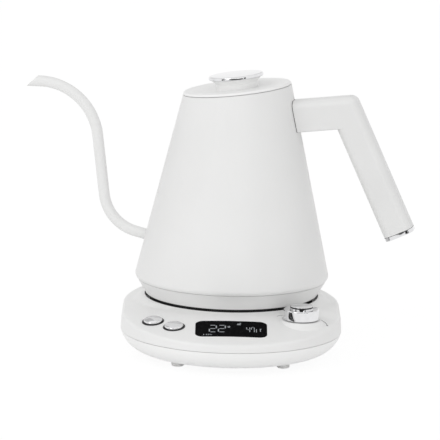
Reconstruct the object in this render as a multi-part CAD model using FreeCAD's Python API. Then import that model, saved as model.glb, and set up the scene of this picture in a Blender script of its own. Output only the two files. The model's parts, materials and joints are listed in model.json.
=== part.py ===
import FreeCAD, Part
import math
import os

from FreeCAD import Matrix, Placement, Rotation, Vector

# Gooseneck kettle on a control base, in millimetres. +Z is up and the table is z = 0.
# It is drawn about the kettle's axis, with the control panel facing -Y and the spout to -X.
# At the end it is moved so that the origin is the middle of its box on the table.

# Kettle body
body_bottom_radius = 75.3
body_bottom_z = 55.0
body_edge_round = 4.0
seam_z = 51.3
body_wall = 1.2
top_radius = 42.3
top_z = 199.4
top_shift = 1.5
top_slant = 7.0
kettle_turn = -9.5
neck_radius = 37.5
neck_wall = 1.2
neck_depth = 8.0
rim_thickness = 1.5

# Spout
spout_diameter = 8.6
spout_wall = 0.85
spout_root_z = 81.6
spout_root_fall = 12.5
spout_lean = 7.1
spout_standoff = 30.2
spout_standoff_z = 135.5
spout_crest_drop = 0.3
spout_low_bend = 33.5
spout_high_bend = 46.5
spout_tip_past_riser = 55.3
spout_tip_cut = 46.0
spout_inside = 2.0

# Handle
arm_z = 180.9
arm_height = 24.4
arm_reach = 39.2
arm_edge_round = 1.4
grip_width = 23.6
grip_lean = 25.0
grip_length = 104.7
grip_edge_round = 6.5
handle_thickness = 20.0
outer_corner_round = 7.0
outer_edge_round = 6.2
end_cap_thickness = 3.0
end_cap_round = 0.6
end_cap_plug = 8.0
gasket_thickness = 0.4
grip_wall = 3.6
grip_hollow = 82.0
bracket_length = 24.0
bracket_width = 11.0
bracket_height = 13.0
bracket_weld = 10.0
handle_screw_shares = (0.4, 0.75)
handle_screw_sink = 1.2

# Kettle bottom
skirt_inset = 8.1
skirt_setback = 0.2
skirt_bottom_z = 39.3
skirt_wall = 2.2
skirt_spigot = 2.7
lip_thickness = 1.8
lip_z = 44.5
lip_inner_radius = 50.0
cover_step = 3.5
cover_wall = 2.2
cover_floor = 2.0
foot_ring_height = 1.0
foot_ring_width = 3.2
bottom_screw_radius = 54.5
bottom_screw_count = 3
bottom_post_radius = 4.0
plate_thickness = 1.5
plate_z = 56.0
spreader_thickness = 3.0
spreader_radius = 60.0
element_radius = 44.0
element_tube = 4.0
element_sweep = 320.0
element_tail = 9.0
element_tail_radius = 2.8
element_tail_inset = 4.0
sensor_radius = 3.5
sensor_length = 7.0
sensor_flange_radius = 5.6
sensor_flange_thickness = 1.2
cutout_radius = 8.0
cutout_length = 8.0
terminal_size = (1.0, 4.0, 4.0)
under_plate_offset = 31.0

# Lid, heights are measured from the slanted seam plane
lid_setback = 0.2
lid_edge_height = 2.3
lid_edge_run = 2.2
lid_edge_bulge = 0.45
lid_groove = 0.5
lid_groove_run = 1.1
lid_dish = 1.3
lid_dish_sag = 0.3
lid_dish_radius = 20.0
lid_plate = 1.2
lid_plug_radius = 34.5
lid_plug_wall = 1.2
lid_plug_depth = 9.0
lid_flange = 2.0
seal_height = 3.0
seal_bead = 0.9
lid_knob_neck_radius = 16.4
lid_knob_neck_height = 4.0
lid_knob_flare_radius = 20.3
lid_knob_flare_height = 9.0
lid_knob_flare_waist = (1.1, 2.2)
lid_knob_wall = 2.0
lid_knob_boss_radius = 4.5
cap_radius = 21.4
cap_height = 2.9
cap_low_round = 0.9
cap_high_round = 1.3
cap_dome = 0.4
cap_spigot_depth = 2.0

# Base
seat_gap = 0.6
seat_z = 32.0
seat_floor = 2.0
seat_lip = 1.0
seat_lip_spread = 9.0
seat_lip_drop = 4.6
rim_z = 37.3
panel_fall = 10.6
panel_blend = 12.0
crown_radius = 650.0
crown_steps_x = 12
crown_steps_y = 44
base_shoulder = 17.2
panel_reach = 45.0
base_seam_z = 20.0
base_groove = 0.5
base_draft = 3.5
base_wall = 2.4
base_edge_round = 3.0
base_floor_z = 4.6
bowl_round = 19.2
bowl_inset = 19.0
foot_radius = 4.8
foot_socket = 1.0
foot_bevel = 0.6
foot_x = 40.0
foot_front = 43.0
foot_back = 42.0
screw_post_radius = 4.0
screw_floor = 4.0
back_screw_place = (50.0, 45.0)
side_screw_place = (62.0, -25.0)

# Display, places are measured on the panel
display_width = 54.0
display_depth = 30.0
display_corner = 6.0
display_from_seat = 30.6
window_thickness = 2.0
window_ledge = 2.0
frame_margin = (12.0, 6.0)
frame_depth = 6.0
module_margin = 2.0
module_thickness = 4.0
board_margin = (10.0, 4.0)
board_thickness = 1.6
board_corner = 1.5
display_post_out = 2.5
display_post_in = 2.0
display_post_radius = 2.2

# Buttons, each placed by its x and its distance in front of the seat
power_button_place = (-59.3, 13.0)
mode_button_place = (-43.2, 25.5)
button_radius = 7.2
button_rise = 1.9
button_dome = 0.4
button_edge_round = 0.8
button_travel = 0.8
button_flange = 0.8
button_flange_height = 1.3
ring_width = 0.9
ring_rise = 0.5
ring_round = 0.3
stem_radius = 2.0
stem_length = 7.0
plunger_radius = 1.6
plunger_length = 3.0
switch_side = 6.2
switch_height = 3.6
button_board_length = 38.0
button_board_width = 16.0
button_post = 6.5
button_post_radius = 2.4

# Temperature knob
knob_place = (53.2, 8.4)
knob_radius = 13.5
knob_height = 8.2
knob_gap = 0.4
knob_shell = 1.6
knob_edge_round = 0.9
knob_bevel = 0.6
knob_boss_radius = 8.6
knob_boss_height = 2.4
knob_boss_round = 0.5
knob_boss_dome = 0.2
plinth_z = 34.6
plinth_margin = 1.3
plinth_drop = 6.1
plinth_spread = 5.0
plinth_thickness = 2.9
bush_radius = 3.5
bush_height = 6.8
shaft_radius = 2.95
shaft_cover = 0.6
encoder_side = 12.0
encoder_height = 6.5
encoder_floor = 1.2
nut_radius = 5.5
nut_height = 2.0

# Round connector
plug_radius = 17.1
plug_height = 16.0
plug_flange = 7.0
plug_flange_thickness = 4.0
plug_terminal_step = 3.0
plug_terminal_depth = 8.0
slot_inner_radius = 10.0
slot_width = 2.6
slot_depth = 12.0
contact_thickness = 0.5
contact_top = 2.0
pin_hole_radius = 3.5
pin_radius = 1.9
blade_thickness = 0.7
blade_foot = 2.0
socket_wall = 3.0
socket_headroom = 1.0
socket_ceiling = 2.5
socket_flange = 3.0
socket_flange_thickness = 1.6

# Boards and mains parts in the base
power_board_size = (64.0, 40.0)
power_board_z = 10.0
power_board_setback = 8.0
power_board_post = 2.5
power_board_corner = 4.0
relay_size = (19.0, 15.0, 15.0)
relay_place = (-18.0, -6.0)
transformer_size = (20.0, 17.0, 16.0)
transformer_step = (6.0, 8.0, 2.0)
transformer_place = (14.0, -4.0)
capacitor_radius = 5.0
capacitor_height = 14.0
capacitor_place = (-18.0, 11.0)
gland_radius = 5.2
gland_bore = 3.2
gland_flange = 1.6
gland_length = 8.0
gland_z = 11.6
gland_boss = 1.4

# Screws: head radius, head height, shank radius, shank length
base_screw = (2.8, 2.0, 1.5, 8.5)
bottom_screw = (2.8, 0.8, 1.5, 7.7)
handle_screw = (2.8, 2.2, 1.5, 13.0)
board_screw = (2.0, 1.2, 1.0, 4.6)
lid_screw_head = (4.0, 1.6)
lid_screw_shank = 1.9

# Clearances
fit = 0.05
slip = 0.1
plate_clearance = 0.15
running = 0.3
plug_clearance = 0.4

origin = Vector(0, 0, 0)
up = Vector(0, 0, 1)
along_x = Vector(1, 0, 0)
along_y = Vector(0, 1, 0)
both = (-1, 1)
nodes = {}


# General shapes

def cylinder(radius, height, z=0.0, x=0.0, y=0.0):
    return Part.makeCylinder(radius, height, Vector(x, y, z))


def tube(outer, inner, height, z=0.0):
    return cylinder(outer, height, z).cut(cylinder(inner, height, z))


def block(size_x, size_y, z_low, z_high, x=0.0, y=0.0):
    corner = Vector(x - size_x / 2, y - size_y / 2, z_low)
    return Part.makeBox(size_x, size_y, z_high - z_low, corner)


def outline(corners, closed=True):
    """Wire through points, each given with the radius that rounds it (0 is a sharp corner)."""
    count = len(corners)
    starts = []
    ends = []
    for i, (point, radius) in enumerate(corners):
        is_end = not closed and i in (0, count - 1)
        reach_in = Vector(0, 0, 0)
        reach_out = Vector(0, 0, 0)
        if radius > 0 and not is_end:
            before = (point - corners[i - 1][0]).normalize()
            after = (corners[(i + 1) % count][0] - point).normalize()
            reach = radius * math.tan(before.getAngle(after) / 2)
            reach_in = before * reach
            reach_out = after * reach
        starts.append(point - reach_in)
        ends.append(point + reach_out)
    edges = []
    for i, (point, radius) in enumerate(corners):
        if not starts[i].isEqual(ends[i], 1e-7):
            inward = ((starts[i] + ends[i]) * 0.5 - point).normalize()
            to_arc = math.hypot(starts[i].distanceToPoint(point), radius) - radius
            edges.append(Part.Arc(starts[i], point + inward * to_arc, ends[i]).toShape())
        if closed or i < count - 1:
            edges.append(Part.LineSegment(ends[i], starts[(i + 1) % count]).toShape())
    return Part.Wire(edges)


def profile(start, *steps):
    """Face in the XZ plane. A step is the next (radius, height), or an arc's middle and end."""
    def at(point):
        return Vector(point[0], 0, point[1])

    edges = []
    here = start
    for step in steps + (start,):
        if isinstance(step[0], tuple):
            middle, there = step
            edges.append(Part.Arc(at(here), at(middle), at(there)).toShape())
        else:
            there = step
            edges.append(Part.LineSegment(at(here), at(there)).toShape())
        here = there
    return Part.Face(Part.Wire(edges))


def rounding(centre, radius, quadrant):
    """Middle point of a quarter round about its centre, towards a quadrant such as (1, -1)."""
    share = radius * math.sqrt(0.5)
    return (centre[0] + quadrant[0] * share, centre[1] + quadrant[1] * share)


def dome(radius, edge_z, apex_z):
    """Arc from an edge to the axis, on a ball whose centre is on the axis."""
    depth = apex_z - edge_z
    ball = (radius ** 2 + depth ** 2) / (2 * depth)
    half_way = math.copysign(math.sqrt(ball ** 2 - radius ** 2 / 4), ball)
    return ((radius / 2, apex_z - ball + half_way), (0, apex_z))


def turned(start, *steps):
    return profile(start, *steps).revolve(origin, up, 360)


def rounded_plate(width, depth, corner, low, high):
    signs = ((-1, -1), (1, -1), (1, 1), (-1, 1))
    corners = [(Vector(sx * width / 2, sy * depth / 2, low), corner) for sx, sy in signs]
    return Part.Face(outline(corners)).extrude(up * (high - low))


def screw(size):
    """Screw that points up with the shoulder of its head at z = 0, and a cross recess."""
    head_radius, head_height, shank_radius, length = size
    body = cylinder(head_radius, head_height, -head_height).fuse(cylinder(shank_radius, length))
    narrow = head_radius / 4
    recess = block(head_radius, narrow, -head_height, -head_height / 2)
    recess = recess.fuse(block(narrow, head_radius, -head_height, -head_height / 2))
    return body.cut(recess).removeSplitter()


def placed(shape, placement):
    copy = shape.copy()
    copy.Placement = placement.multiply(copy.Placement)
    return copy


def joined(shapes):
    return shapes[0].fuse(shapes[1:]).removeSplitter() if len(shapes) > 1 else shapes[0]


def at_points(shape, points):
    copies = []
    for point in points:
        copy = shape.copy()
        copy.translate(point)
        copies.append(copy)
    return copies


def round_pattern(shape, count, radius):
    copies = at_points(shape, [along_x * radius] * count)
    for i, copy in enumerate(copies):
        copy.rotate(origin, up, 360.0 * i / count)
    return copies


# Places

def frame_at(place, normal, towards):
    """Placement with its Z along normal and its X as near to towards as it can be."""
    z_axis = Vector(normal).normalize()
    y_axis = z_axis.cross(towards).normalize()
    x_axis = y_axis.cross(z_axis)
    return Placement(Matrix(x_axis.x, y_axis.x, z_axis.x, place.x,
                            x_axis.y, y_axis.y, z_axis.y, place.y,
                            x_axis.z, y_axis.z, z_axis.z, place.z,
                            0, 0, 0, 1))


kettle_place = Placement(origin, Rotation(up, kettle_turn))
lid_place = Placement(Vector(top_shift, 0, top_z), Rotation(along_y, -top_slant))

skirt_bottom_radius = body_bottom_radius - skirt_inset
seat_radius = skirt_bottom_radius + seat_gap
base_radius = seat_radius + base_shoulder
panel_centre_y = -panel_reach
fall = math.tan(math.radians(panel_fall))


def crown(x, y):
    """Height of the base's top: level round the seat, falling to the front and the sides."""
    past = -y - seat_radius
    if past < -panel_blend:
        drop = 0.0
    elif past < panel_blend:
        drop = fall * (past + panel_blend) ** 2 / (4 * panel_blend)
    else:
        drop = fall * past
    return rim_z - drop - x * x / (2 * crown_radius)


def on_panel(place):
    """Point of the panel from its x and its distance in front of the seat."""
    y = -seat_radius - place[1]
    return Vector(place[0], y, crown(place[0], y))


power_point = on_panel(power_button_place)
mode_point = on_panel(mode_button_place)
button_middle = (power_point + mode_point) * 0.5
button_row = mode_point - power_point
button_normal = Vector(button_middle.x / crown_radius, -fall, 1).normalize()
power_place = frame_at(power_point, button_normal, button_row)
mode_place = frame_at(mode_point, button_normal, button_row)
button_board_place = frame_at(button_middle, button_normal, button_row)
display_place = frame_at(on_panel((0, display_from_seat)), Vector(0, -fall, 1), along_x)
knob_point = on_panel(knob_place)
knob_axis = Placement(Vector(knob_point.x, knob_point.y, 0), Rotation())


# Kettle body and spout

body_slope = (body_bottom_radius - top_radius) / (top_z - body_bottom_z)
edge_lean = math.atan(body_slope)
edge_centre = (body_bottom_radius - body_edge_round * math.cos(edge_lean),
               body_bottom_z - body_edge_round * math.sin(edge_lean))
edge_end = math.asin((seam_z - edge_centre[1]) / body_edge_round)
seam_radius = edge_centre[0] + body_edge_round * math.cos(edge_end)
body_inner_radius = seam_radius - body_wall


def body_loft(grow, below=0.0):
    """Cone from the level bottom circle to the slanted top one, grown by a distance."""
    low = Part.Wire(Part.makeCircle(body_bottom_radius + grow, Vector(0, 0, body_bottom_z)))
    high = Part.Wire(Part.makeCircle(top_radius + grow + below * body_slope, Vector(0, 0, -below)))
    return Part.makeLoft([low, placed(high, lid_place)], True, True)


def body_edge():
    """Rounded lower edge between the cone and the seam."""
    middle = (edge_lean + edge_end) / 2
    bulge = (edge_centre[0] + body_edge_round * math.cos(middle),
             edge_centre[1] + body_edge_round * math.sin(middle))
    return turned((body_bottom_radius, body_bottom_z), (bulge, (seam_radius, seam_z)),
                  (0, seam_z), (0, body_bottom_z))


def side_u(z, sign):
    """Body outline at height z in the plane of spout and handle: sign 1 is the handle's side."""
    slant = math.radians(top_slant)
    edge_u = top_shift + sign * top_radius * math.cos(slant)
    edge_z = top_z + sign * top_radius * math.sin(slant)
    share = (z - body_bottom_z) / (edge_z - body_bottom_z)
    return sign * body_bottom_radius * (1 - share) + edge_u * share


def crossing(point_a, along_a, point_b, along_b):
    """Point where two lines in the XZ plane cross."""
    gap = point_b - point_a
    turn = along_a.x * along_b.z - along_a.z * along_b.x
    return point_a + along_a * ((gap.x * along_b.z - gap.z * along_b.x) / turn)


def spout_corners():
    """Start inside the wall, corners of the root, riser and crest lines, and the tip."""
    fall_angle = math.radians(spout_root_fall)
    lean_angle = math.radians(spout_lean)
    root = Vector(side_u(spout_root_z, -1), 0, spout_root_z)
    along_root = Vector(-math.cos(fall_angle), 0, math.sin(fall_angle))
    riser = Vector(-body_bottom_radius - spout_standoff, 0, spout_standoff_z)
    along_riser = Vector(-math.sin(lean_angle), 0, math.cos(lean_angle))
    tip = Vector(riser.x - spout_tip_past_riser, 0, top_z - spout_crest_drop)
    low = crossing(root, along_root, riser, along_riser)
    high = crossing(tip, along_x, riser, along_riser)
    return root - along_root * spout_inside, low, high, tip


def spout_pipe(radius, longer):
    inner, low, high, tip = spout_corners()
    start = inner + (inner - low).normalize() * longer
    end = tip - along_x * (2 * spout_diameter)
    path = outline([(start, 0), (low, spout_low_bend), (high, spout_high_bend), (end, 0)], False)
    ring = Part.Wire(Part.makeCircle(radius, start, (low - start).normalize()))
    return path.makePipeShell([ring], True, False)


def make_kettle_body():
    chamber = body_loft(-body_wall, rim_thickness)
    low = cylinder(body_inner_radius, body_bottom_z - seam_z, seam_z)
    neck = placed(tube(neck_radius + neck_wall, neck_radius, neck_depth, -neck_depth), lid_place)
    mouth = placed(cylinder(neck_radius, 2 * neck_depth, -neck_depth), lid_place)
    shell = joined([body_loft(0), body_edge()]).cut(chamber).cut(low).cut(mouth)
    nodes["kettle_body"] = joined([shell, neck]).cut(spout_pipe(spout_diameter / 2 + fit, spout_inside))


def make_spout_tube():
    bore = spout_diameter / 2 - spout_wall
    wall = spout_pipe(spout_diameter / 2, 0).cut(spout_pipe(bore, spout_inside))
    side = 4 * spout_diameter
    beyond_tip = Part.makeBox(side, side, side, Vector(-side, -side / 2, -side / 2))
    beyond_tip.rotate(origin, along_y, spout_tip_cut)
    beyond_tip.translate(spout_corners()[3])
    nodes["spout_tube"] = wall.cut(beyond_tip)


# Handle

arm_slant = math.radians(top_slant)
grip_tilt = math.radians(grip_lean)
arm_along = Vector(math.cos(arm_slant), 0, math.sin(arm_slant))
arm_up = Vector(-math.sin(arm_slant), 0, math.cos(arm_slant))
grip_down = Vector(math.sin(grip_tilt), 0, -math.cos(grip_tilt))
grip_out = Vector(math.cos(grip_tilt), 0, math.sin(grip_tilt))
arm_root = Vector(side_u(arm_z, 1), 0, arm_z)
handle_corner = arm_root + arm_along * arm_reach
grip_end = handle_corner + grip_down * grip_length
arm_start = arm_root - arm_along * arm_height


def along_arm(shape):
    """Put a shape with its X along the arm at the arm's root."""
    return placed(shape, frame_at(arm_root, arm_up, arm_along))


def along_grip(shape, before_end):
    """Put a shape with its X down the grip, a distance before the grip's end."""
    return placed(shape, frame_at(grip_end - grip_down * before_end, grip_out, grip_down))


def bar_envelope(low, high, edge_round, start, length):
    """Long bar along X whose two lower edges are rounded."""
    half = handle_thickness / 2
    corners = [(Vector(start, -half, low), edge_round), (Vector(start, half, low), edge_round),
               (Vector(start, half, high), 0), (Vector(start, -half, high), 0)]
    return Part.Face(outline(corners)).extrude(along_x * length)


def outer_long_edges(bar):
    """Edges along the top of the arm and the outside of the grip, on both flat faces."""
    chosen = []
    for edge in bar.Edges:
        middle = edge.valueAt((edge.FirstParameter + edge.LastParameter) / 2)
        on_face = edge.BoundBox.YLength < fit and abs(middle.y) > handle_thickness / 2 - fit
        above_arm = (middle - arm_root).dot(arm_up) > arm_height / 2 - outer_corner_round
        outside_grip = (middle - grip_end).dot(grip_out) > grip_width / 2 - outer_corner_round
        past_start = (middle - arm_start).dot(arm_along) > fit
        before_end = (grip_end - middle).dot(grip_down) > fit
        if on_face and past_start and before_end and (above_arm or outside_grip):
            chosen.append(edge)
    return chosen


def handle_blank():
    """Arm and grip as one bar, with the arm run into the body and the long edges rounded."""
    rise = arm_up * (arm_height / 2)
    out = grip_out * (grip_width / 2)
    outer = crossing(arm_start + rise, arm_along, grip_end + out, grip_down)
    inner = crossing(arm_start - rise, arm_along, grip_end - out, grip_down)
    corners = [(arm_start + rise, 0), (outer, outer_corner_round), (grip_end + out, 0),
               (grip_end - out, 0), (inner, 0), (arm_start - rise, 0)]
    face = Part.Face(outline(corners))
    face.translate(along_y * (-handle_thickness / 2))
    bar = face.extrude(along_y * handle_thickness)
    bar = bar.makeFillet(outer_edge_round, outer_long_edges(bar))
    reach = arm_height + arm_reach + grip_length
    arm = along_arm(bar_envelope(-arm_height / 2, 2 * arm_height, arm_edge_round, -2 * arm_height, 2 * reach))
    grip = along_grip(bar_envelope(-grip_width / 2, 2 * grip_width, grip_edge_round, 0, 2 * reach),
                      grip_length + arm_height)
    return bar.common(arm.fuse(grip))


def bracket_bar(grow):
    width = bracket_width + 2 * grow
    height = bracket_height + 2 * grow
    length = bracket_weld + bracket_length + grow
    return along_arm(Part.makeBox(length, width, height, Vector(-bracket_weld, -width / 2, -height / 2)))


def grip_core(wall, length):
    """Bar inside the grip, a wall's thickness from its faces."""
    width = grip_width - 2 * wall
    thick = handle_thickness - 2 * wall
    return Part.makeBox(length, thick, width, Vector(0, -thick / 2, -width / 2))


def end_rim(shape):
    """Edges of the handle's end face."""
    rim = []
    for edge in shape.Edges:
        points = edge.discretize(3)
        if all(abs((point - grip_end).dot(grip_down)) < fit for point in points):
            rim.append(edge)
    return rim


def make_handle():
    head_radius, head_height, shank_radius, shank_length = handle_screw
    shoulder = -arm_height / 2 + handle_screw_sink + head_height
    places = [Vector(bracket_length * share, 0, shoulder) for share in handle_screw_shares]
    taps = [along_arm(tap) for tap in at_points(cylinder(shank_radius + fit, shank_length + slip), places)]
    wells = cylinder(head_radius + slip, arm_height, -arm_height)
    wells = [along_arm(well) for well in at_points(wells, places)]
    screws = [along_arm(one) for one in at_points(screw(handle_screw), places)]
    nodes["handle_screws"] = Part.makeCompound(screws)

    blank = handle_blank()
    bare_body = body_loft(fit)
    near_body = body_loft(gasket_thickness)
    bar = blank.cut(body_loft(gasket_thickness + fit))
    side = 4 * grip_width
    cap_zone = along_grip(Part.makeBox(side, side, side, Vector(0, -side / 2, -side / 2)), end_cap_thickness)
    hollow = along_grip(grip_core(grip_wall, grip_hollow), end_cap_thickness + grip_hollow)
    grip = bar.cut([cap_zone, bracket_bar(slip), hollow] + taps + wells)
    nodes["handle_grip"] = grip
    cap = bar.common(cap_zone)
    cap = cap.makeFillet(end_cap_round, end_rim(cap))
    plug = along_grip(grip_core(grip_wall + slip, end_cap_plug), end_cap_thickness + end_cap_plug)
    nodes["handle_end_cap"] = joined([cap, plug])
    handle_side = block(2 * body_bottom_radius, 2 * handle_thickness, 0, 2 * top_z, body_bottom_radius)
    skin = blank.common(near_body).common(handle_side)
    nodes["handle_gasket"] = skin.cut(bare_body).cut(bracket_bar(slip))
    nodes["handle_bracket"] = bracket_bar(0).cut([bare_body] + taps)


# Kettle bottom

cover_radius = skirt_bottom_radius - cover_step
skirt_top_z = seam_z - running
skirt_top_radius = seam_radius - skirt_setback
cover_floor_z = seat_z + foot_ring_height
cover_floor_top = cover_floor_z + cover_floor
socket_inner = plug_radius + plug_clearance
socket_outer = socket_inner + socket_wall


def skirt_outer(z):
    share = (z - skirt_bottom_z) / (skirt_top_z - skirt_bottom_z)
    return skirt_bottom_radius + share * (skirt_top_radius - skirt_bottom_radius)


def make_kettle_bottom():
    head_radius, head_height, shank_radius, shank_length = bottom_screw
    lip_top = lip_z + lip_thickness
    spigot = body_inner_radius - slip
    spigot_top = skirt_top_z + skirt_spigot
    ring = turned((skirt_bottom_radius, skirt_bottom_z), (skirt_top_radius, skirt_top_z),
                  (spigot, skirt_top_z), (spigot, spigot_top), (spigot - skirt_wall, spigot_top),
                  (spigot - skirt_wall, skirt_top_z), (skirt_outer(lip_top) - skirt_wall, lip_top),
                  (lip_inner_radius, lip_top), (lip_inner_radius, lip_z),
                  (skirt_outer(lip_z) - skirt_wall, lip_z),
                  (skirt_bottom_radius - skirt_wall, skirt_bottom_z))
    post = cylinder(bottom_post_radius, lip_top - cover_floor_top, cover_floor_top)
    posts = round_pattern(post, bottom_screw_count, bottom_screw_radius)
    shoulder = cover_floor_z + head_height
    tap = cylinder(shank_radius + fit, shank_length + slip, shoulder)
    taps = round_pattern(tap, bottom_screw_count, bottom_screw_radius)
    nodes["kettle_skirt"] = joined([ring] + posts).cut(taps)

    foot_outer = cover_radius - foot_ring_height
    foot_inner = foot_outer - foot_ring_width
    hole = socket_outer + running
    cover = turned((hole, cover_floor_z), (foot_inner, cover_floor_z), (foot_inner, seat_z),
                   (foot_outer, seat_z), (cover_radius, cover_floor_z), (cover_radius, lip_z),
                   (cover_radius - cover_wall, lip_z), (cover_radius - cover_wall, cover_floor_top),
                   (hole, cover_floor_top))
    well = cylinder(head_radius + slip, head_height, cover_floor_z)
    wells = round_pattern(well, bottom_screw_count, bottom_screw_radius)
    nodes["kettle_bottom_cover"] = cover.cut(wells + taps)
    one = screw(bottom_screw)
    one.translate(up * shoulder)
    screws = round_pattern(one, bottom_screw_count, bottom_screw_radius)
    nodes["bottom_screws"] = Part.makeCompound(screws)


def make_heater():
    slab = block(4 * body_bottom_radius, 4 * body_bottom_radius, plate_z, plate_z + plate_thickness)
    nodes["heating_plate"] = body_loft(-body_wall - plate_clearance).common(slab)
    under = plate_z - spreader_thickness
    nodes["heat_spreader"] = cylinder(spreader_radius, spreader_thickness, under)

    ring_z = under - element_tube - fit
    circle = Part.Wire(Part.makeCircle(element_tube, Vector(element_radius, 0, ring_z), along_y))
    ring = Part.Face(circle).revolve(origin, up, element_sweep)
    tails = at_points(cylinder(element_tail_radius, element_tail, ring_z - element_tail),
                      [along_x * element_radius] * 2)
    tails[0].rotate(origin, up, element_tail_inset)
    tails[1].rotate(origin, up, element_sweep - element_tail_inset)
    nodes["heating_element"] = joined([ring] + tails)

    probe = cylinder(sensor_radius, sensor_length, under - sensor_length, -under_plate_offset)
    flange = cylinder(sensor_flange_radius, sensor_flange_thickness, under - sensor_flange_thickness,
                      -under_plate_offset)
    nodes["temperature_sensor"] = joined([probe, flange])
    cutout_z = under - cutout_length
    cutout = cylinder(cutout_radius, cutout_length, cutout_z, under_plate_offset)
    wide, deep, high = terminal_size
    terminals = [block(wide, deep, cutout_z - high, cutout_z, under_plate_offset + side * cutout_radius / 2)
                 for side in both]
    nodes["dry_boil_switch"] = joined([cutout] + terminals)


# Lid, built level about its own axis

lid_names = ("lid_cover", "lid_inner_plate", "lid_plug_ring", "lid_seal",
             "lid_knob", "lid_knob_cap", "lid_screw")
knob_foot = lid_edge_height - lid_dish
knob_top = lid_knob_flare_height


def make_lid_cover():
    edge = top_radius - lid_setback
    crest = (edge - lid_edge_run, lid_edge_height)
    edge_middle = (edge - lid_edge_bulge, lid_edge_height - lid_edge_bulge)
    slope_middle = ((crest[0] + lid_dish_radius) / 2, (crest[1] + knob_foot) / 2 - lid_dish_sag)
    hole = lid_screw_shank + slip
    nodes["lid_cover"] = turned((edge, lid_groove), (edge_middle, crest),
                                (slope_middle, (lid_dish_radius, knob_foot)), (hole, knob_foot),
                                (hole, 0), (edge - lid_groove_run, 0))
    plug_inner = lid_plug_radius - lid_plug_wall
    flange = lid_plug_radius + lid_flange
    nodes["lid_inner_plate"] = turned((hole, -lid_plate), (hole, 0), (flange, 0), (flange, -lid_plate))
    nodes["lid_plug_ring"] = turned((plug_inner, -lid_plug_depth), (plug_inner, -lid_plate),
                                    (lid_plug_radius, -lid_plate), (lid_plug_radius, -lid_plug_depth))
    seal_inner = lid_plug_radius + fit
    seal_outer = neck_radius - running
    seal_top = -lid_plate - fit
    seal_low = seal_top - seal_height
    nodes["lid_seal"] = turned((seal_inner, seal_top), (seal_outer - seal_bead, seal_top),
                               (seal_outer, (seal_top + seal_low) / 2),
                               (seal_outer - seal_bead, seal_low), (seal_inner, seal_low))


def make_lid_knob():
    neck = lid_knob_neck_radius
    flare = lid_knob_flare_radius
    waist = (neck + lid_knob_flare_waist[0], knob_top - lid_knob_flare_waist[1])
    hollow = neck - lid_knob_wall
    boss = lid_knob_boss_radius
    hole = lid_screw_shank + fit
    floor = knob_foot + lid_knob_wall
    nodes["lid_knob"] = turned((neck, knob_foot), (neck, knob_foot + lid_knob_neck_height),
                               (waist, (flare, knob_top)), (hollow, knob_top), (hollow, floor),
                               (boss, floor), (boss, knob_top), (hole, knob_top), (hole, knob_foot))
    top = knob_top + cap_height
    low_centre = (cap_radius - cap_low_round, knob_top + cap_low_round)
    high_centre = (cap_radius - cap_high_round, top - cap_high_round)
    spigot = hollow - slip
    clear = boss + slip
    low_bend = rounding(low_centre, cap_low_round, (1, -1))
    high_bend = rounding(high_centre, cap_high_round, (1, 1))
    nodes["lid_knob_cap"] = turned((spigot, knob_top), (low_centre[0], knob_top),
                                   (low_bend, (cap_radius, low_centre[1])), (cap_radius, high_centre[1]),
                                   (high_bend, (high_centre[0], top)),
                                   dome(high_centre[0], top, top + cap_dome), (0, knob_top + slip),
                                   (clear, knob_top + slip), (clear, knob_top - cap_spigot_depth),
                                   (spigot, knob_top - cap_spigot_depth))
    one = screw(lid_screw_head + (lid_screw_shank, knob_top + lid_plate - slip))
    one.translate(up * -lid_plate)
    nodes["lid_screw"] = one


# Base shells

def stadium(radius, z):
    """Plan outline of the base: half circles at the back and the front, straight sides."""
    front = panel_centre_y
    back_arc = Part.Arc(Vector(radius, 0, z), Vector(0, radius, z), Vector(-radius, 0, z))
    left = Part.LineSegment(Vector(-radius, 0, z), Vector(-radius, front, z))
    front_arc = Part.Arc(Vector(-radius, front, z), Vector(0, front - radius, z), Vector(radius, front, z))
    right = Part.LineSegment(Vector(radius, front, z), Vector(radius, 0, z))
    return Part.Wire([part.toShape() for part in (back_arc, left, front_arc, right)])


def stadium_loft(low_radius, low_z, high_z):
    shrink = (high_z - low_z) * math.tan(math.radians(base_draft))
    return Part.makeLoft([stadium(low_radius, low_z), stadium(low_radius - shrink, high_z)], True, True)


def stadium_solid(face):
    """Carry a half section round the plan outline."""
    moved = face.copy()
    moved.translate(Vector(0, panel_centre_y, 0))
    back = face.revolve(origin, up, 180)
    front = moved.revolve(Vector(0, panel_centre_y, 0), up, -180)
    right = moved.extrude(along_y * panel_reach)
    left = right.mirror(origin, along_x)
    return joined([back, front, right, left])


cover_top_z = rim_z + base_shoulder


def crown_solid(below):
    """Everything up to a distance below the crowned top."""
    reach = base_radius + base_shoulder
    low_y = panel_centre_y - reach
    grid = []
    for i in range(crown_steps_x + 1):
        x = reach * (2.0 * i / crown_steps_x - 1)
        row = []
        for j in range(crown_steps_y + 1):
            y = low_y + (reach - low_y) * j / crown_steps_y
            row.append(Vector(x, y, crown(x, y) - below))
        grid.append(row)
    surface = Part.BSplineSurface()
    surface.interpolate(grid)
    return surface.toShape().extrude(up * (-2 * rim_z))


bowl_flat = base_radius - bowl_inset


def bowl_reach(z, floor_z, round_radius):
    """Distance from the middle line to the bowl's round wall at height z."""
    return bowl_flat + math.sqrt(round_radius ** 2 - (z - floor_z - round_radius) ** 2)


def bowl_section(thicker):
    floor_z = base_floor_z + thicker
    radius = bowl_round - thicker
    side = bowl_reach(base_seam_z, floor_z, radius)
    half_turn = (math.atan2(base_seam_z - floor_z - radius, side - bowl_flat) - math.pi / 2) / 2
    bulge = (bowl_flat + radius * math.cos(half_turn), floor_z + radius + radius * math.sin(half_turn))
    return profile((bowl_flat, floor_z), (bulge, (side, base_seam_z)), (0, base_seam_z), (0, floor_z))


def base_screw_points():
    return [Vector(side * x, y, 0) for side in both for x, y in (back_screw_place, side_screw_place)]


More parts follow.
